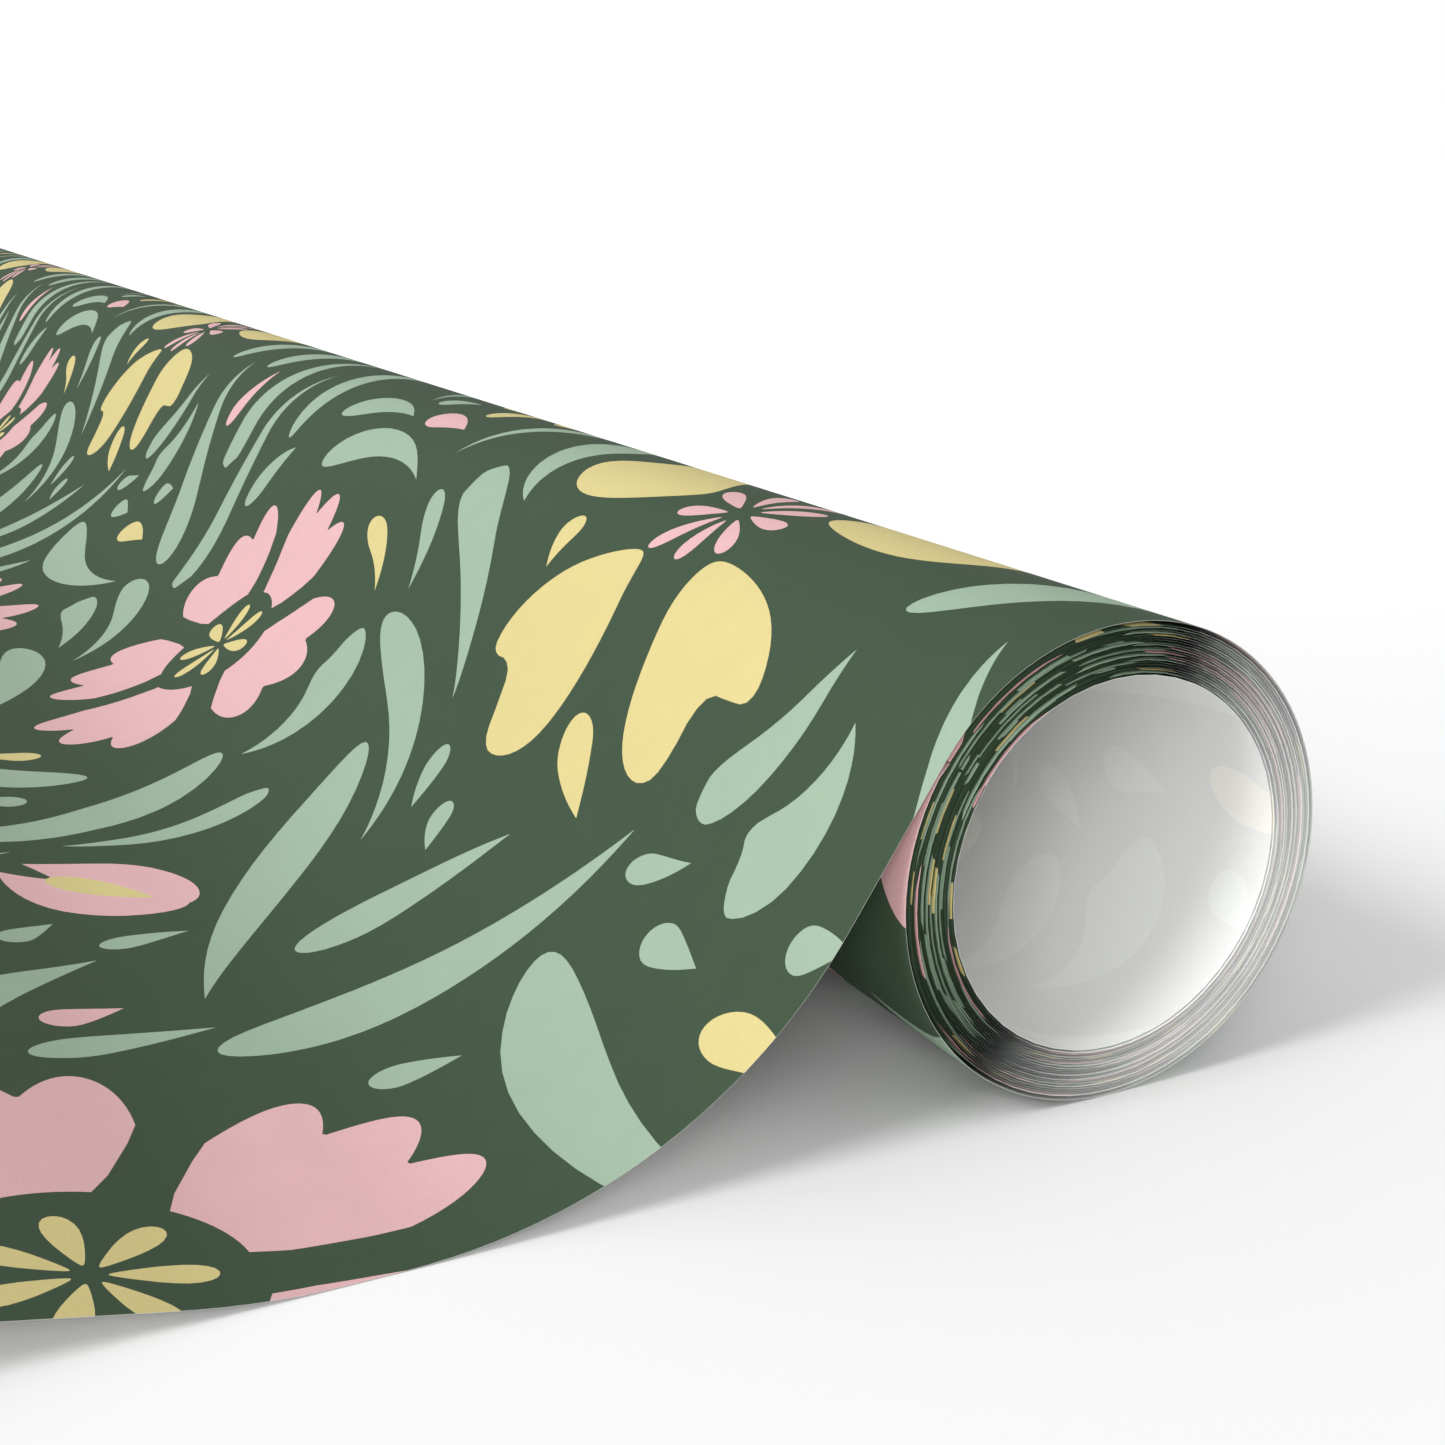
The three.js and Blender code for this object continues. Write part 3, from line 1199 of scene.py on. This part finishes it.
@dataclass
class WoundRoll:
    """The wound web: the outer wrap, and the coil inside it in three bodies.

    Attributes:
        stock: The paper of the outer wrap and the bore's turn.
        coil_stock: The same paper between the turns.
        wrap_edge: The outer wrap's cut edge.
        coil_edge: The cut edges inside it.
        wrap_fold: The most millimetres between two folds of the wrap.
        coil_fold: The most millimetres between two folds of the coil.
        printed_edge: How far in from each side the coil's print is cut.
        air: What is left open at the ends of the coil's pieces, so that they slide clear.
        coil_bodies: Each body of the coil, and its first and last turn.
    """

    stock: PaperStock
    coil_stock: PaperStock
    wrap_edge: bpy.types.Material
    coil_edge: bpy.types.Material
    wrap_fold: float = 1.5
    coil_fold: float = 2.2
    printed_edge: float = 44.0
    air: float = 0.12
    coil_bodies: tuple[tuple[str, int, int], ...] = (
        ("coil_outer", 2, 8),
        ("coil_middle", 9, 15),
        ("coil_core", 16, 22),
    )

    def build(self) -> None:
        """Builds the outer wrap and the coil's pieces, and gives each its body."""
        route = self.stock.route
        wrap = self.stock.piece("outer_wrap_sheet", 0.0, route.wrap_length, self.wrap_fold, self.wrap_edge)
        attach(wrap, "wrap")
        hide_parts("outer_wrap")
        for body, first, last in self.coil_bodies:
            start, end = (route.place_of_travel(turn * TURN) for turn in (first - 1, last))
            inner = route.turn_count == last
            bore = route.place_of_travel((last - 1) * TURN)
            span = (start + self.air, bore if inner else end - self.air)
            coil = self.coil_stock.piece(
                f"{body}_sheet", *span, self.coil_fold, self.coil_edge, self.printed_edge
            )
            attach(coil, body)
            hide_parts(*(f"turn_{turn:02d}" for turn in range(first, last + (not inner))))
            if inner:
                bore_turn = self.stock.piece("bore_turn_sheet", bore, end, self.coil_fold, self.coil_edge)
                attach(bore_turn, body)
                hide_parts(f"turn_{last:02d}")


@dataclass(frozen=True)
class LeafBand:
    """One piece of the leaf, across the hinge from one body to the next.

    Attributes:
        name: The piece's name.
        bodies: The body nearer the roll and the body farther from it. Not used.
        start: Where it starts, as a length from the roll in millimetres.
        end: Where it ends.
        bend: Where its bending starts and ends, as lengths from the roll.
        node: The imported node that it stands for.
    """

    name: str
    bodies: tuple[str, str]
    start: float
    end: float
    bend: tuple[float, float]
    node: str


@dataclass
class LooseLeaf:
    """The leaf, in pieces that run from the middle of one packed band to the middle of the next."""

    stock: PaperStock
    edge: bpy.types.Material
    fold: float = 2.0

    def bands(self) -> list[LeafBand]:
        """The pieces, from the roll to the free edge.

        Returns:
            The pieces, which meet where the sheet follows one body only.
        """
        drop, bend, _, land, _, _, crest = self.stock.route.stretches()
        hinges = [
            0.0,
            *(bend.start + bend.length * share for share in (1 / 6, 3 / 6, 5 / 6)),
            land.start + land.length,
            crest.start + crest.length / 3,
            crest.start + crest.length * 2 / 3,
        ]
        end = self.stock.route.leaf_length
        middles = [0.0, *((a + b) / 2 for a, b in zip(hinges[1:], hinges[2:])), end]
        middles.insert(1, hinges[1] / 2)
        bodies = ["wrap", "drop", "bend_1", "bend_2", "land", "rise", "crest", "edge"]
        made = []
        for index, hinge in enumerate(hinges):
            first, last = middles[index], middles[index + 1]
            reach = min(last - hinge, hinge - first if index else last)
            begin = hinge - reach if index else 0.0
            inner, outer = bodies[index : index + 2]
            span, bent = (first, last), (begin, hinge + reach)
            made.append(LeafBand(f"leaf_{outer}_sheet", (inner, outer), *span, bent, f"leaf_{outer}"))
        return made

    def build(self) -> None:
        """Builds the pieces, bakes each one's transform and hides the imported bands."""
        for band in self.bands():
            piece = self.stock.piece(band.name, -band.end, -band.start, self.fold, self.edge)
            start, end = (self.stock.route.point(-place) for place in band.bend)
            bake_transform(piece)
            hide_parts(band.node)


@dataclass
class Studio:
    """The floor, the lights and the camera. Lengths are in metres and angles in degrees.

    The camera stands off the foot of the roll's near end: to the left of it, back from it and
    above the table. The lights hang off the same end, and face it.

    Attributes:
        route: The path of the web, which gives the near end.
        camera_left: How far to the left of the near end the camera is.
        camera_back: How far back from it.
        camera_up: How far above the table.
        camera_turn: How far the camera is turned to the right of the roll's axis.
        camera_tilt: How far it looks down.
        lens: Its focal length, in millimetres.
        floor_half: Half of the floor's side.
        floor_drop: How far the floor is under the part.
        ambient: The strength of the light from all round.
        key: The key's strength.
        key_spread: The angle that the key is seen under, which softens its shadows.
        fill: The fill's power, in watts.
        fill_size: The side of the fill's square.
        aim_height: The height over the near end that the lights face.
        key_from: Where the key hangs, off that point.
        fill_from: Where the fill hangs, off that point.
    """

    route: WebRoute
    camera_left: float = 0.10526
    camera_back: float = 0.13215
    camera_up: float = 0.08255
    camera_turn: float = 26.73
    camera_tilt: float = 16.05
    lens: float = 50.2
    floor_half: float = 6.0
    floor_drop: float = 0.00005
    ambient: float = 0.64
    key: float = 1.85
    key_spread: float = 20.0
    fill: float = 12.0
    fill_size: float = 0.8
    aim_height: float = 0.02
    key_from: tuple[float, float, float] = (-1.0, -0.1, 0.75)
    fill_from: tuple[float, float, float] = (-0.7, -1.1, 0.44)

    def build(self) -> None:
        """Builds the studio."""
        self._floor()
        self._lights()
        self._camera()

    def _floor(self) -> None:
        """Lays the floor a hair under the part, so that the two don't share a face."""
        half, low = self.floor_half, -self.floor_drop
        mesh = bpy.data.meshes.new("studio_floor")
        corners = [(x * half, y * half, low) for x, y in ((-1, -1), (1, -1), (1, 1), (-1, 1))]
        mesh.from_pydata(corners, [], [(0, 1, 2, 3)])
        mesh.materials.append(MattSweep().build())
        floor = bpy.data.objects.new("studio_floor", mesh)
        bpy.context.scene.collection.objects.link(floor)

    def _lights(self) -> None:
        """Lights the table from all round, with a soft key from the left and a fill from the front left."""
        world = bpy.data.worlds.new("white_studio")
        world.use_nodes = True
        tree = world.node_tree
        tree.nodes.clear()
        path = add_node(tree, "LightPath")
        backdrop = {"Value": path.outputs["Is Camera Ray"], 3: self.ambient, 4: 1.0}
        seen = add_node(tree, "MapRange", backdrop)
        sky = add_node(tree, "Background", {"Color": (1, 1, 1, 1), "Strength": seen.outputs[0]})
        add_node(tree, "OutputWorld", {"Surface": sky.outputs[0]})
        bpy.context.scene.world = world
        bpy.context.scene.view_settings.view_transform = "Standard"
        key = bpy.data.lights.new("key", "SUN")
        key.angle = math.radians(self.key_spread)
        key.energy = self.key
        self._hang(key, self.key_from)
        fill = bpy.data.lights.new("fill", "AREA")
        fill.size = self.fill_size
        fill.energy = self.fill
        self._hang(fill, self.fill_from)

    def _near_end(self, height: float) -> Vector:
        """A point at a height over the foot of the roll's near end."""
        return Vector((self.route.axis_x * MM, -self.route.width / 2 * MM, height))

    def _hang(self, light: bpy.types.Light, offset: tuple[float, float, float]) -> None:
        """Hangs a light off the roll's near end, facing it.

        Args:
            light: The light.
            offset: How far off the near end it hangs, in metres.
        """
        lamp = bpy.data.objects.new(light.name, light)
        target = self._near_end(self.aim_height)
        lamp.location = target + Vector(offset)
        lamp.rotation_euler = (target - lamp.location).to_track_quat("-Z", "Y").to_euler()
        bpy.context.scene.collection.objects.link(lamp)

    def _camera(self) -> None:
        """Sets the camera up."""
        lens = bpy.data.cameras.new("camera")
        lens.lens = self.lens
        lens.clip_start = 0.01
        lens.clip_end = 30.0
        camera = bpy.data.objects.new("camera", lens)
        camera.location = self._near_end(0) + Vector((-self.camera_left, -self.camera_back, self.camera_up))
        camera.rotation_euler = (math.radians(90 - self.camera_tilt), 0, -math.radians(self.camera_turn))
        bpy.context.scene.collection.objects.link(camera)
        bpy.context.scene.camera = camera


def write_sizes() -> None:
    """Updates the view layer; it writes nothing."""
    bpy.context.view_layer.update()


def main() -> None:
    """Builds the studio, the roll and the leaf."""
    logging.basicConfig(level=logging.INFO, format="%(name)s: %(message)s")
    route = WebRoute.from_frame()
    lengths = (route.width, route.wound_length, route.leaf_length)
    log.info("web %.1f mm wide, %.0f mm wound, %.1f mm loose", *lengths)
    Studio(route).build()
    # Both cut edges are painted grey, a painted shade, the outer one darker than the one inside the roll.
    shaded_open_edge = SlitPaperEdge("knife_slit_paper_edge_painted_shade", fibre="B4B6AF", dragged_ink=0.3).build()
    shaded_inner_edge = SlitPaperEdge("knife_slit_edge_inside_the_roll_painted_shade", fibre="C9C9C7", dragged_ink=0.06).build()
    printed, back = FlexoPrintedGiftWrap().build(), UnprintedBack().build()
    stock = PaperStock(route, HandWound(), FloralRepeat(), printed, back)
    # Between two turns light reaches the back through the air gap alone, so hardly any print shows. Its white
    # is painted lighter than the back's, a painted light against the shade in the gaps between the turns.
    painted_light_inner_back = UnprintedBack("paper_back_inside_the_roll_painted_lighter", white="FDFDFC", show_through=0.03).build()
    coil_stock = replace(stock, back=painted_light_inner_back, shown_thickness=0.016, slant=0.05)
    # The leaf is a single layer with light on both sides, so more of the print shows through it. Its white is
    # painted darker than the back's on the roll, a painted shade.
    painted_shade_leaf_back = UnprintedBack("paper_back_of_the_leaf_painted_darker", white="D9D9D7", show_through=0.22).build()
    WoundRoll(stock, coil_stock, shaded_open_edge, shaded_inner_edge).build()
    LooseLeaf(replace(stock, back=painted_shade_leaf_back), shaded_open_edge).build()
    write_sizes()


if __name__ == "__main__":
    main()
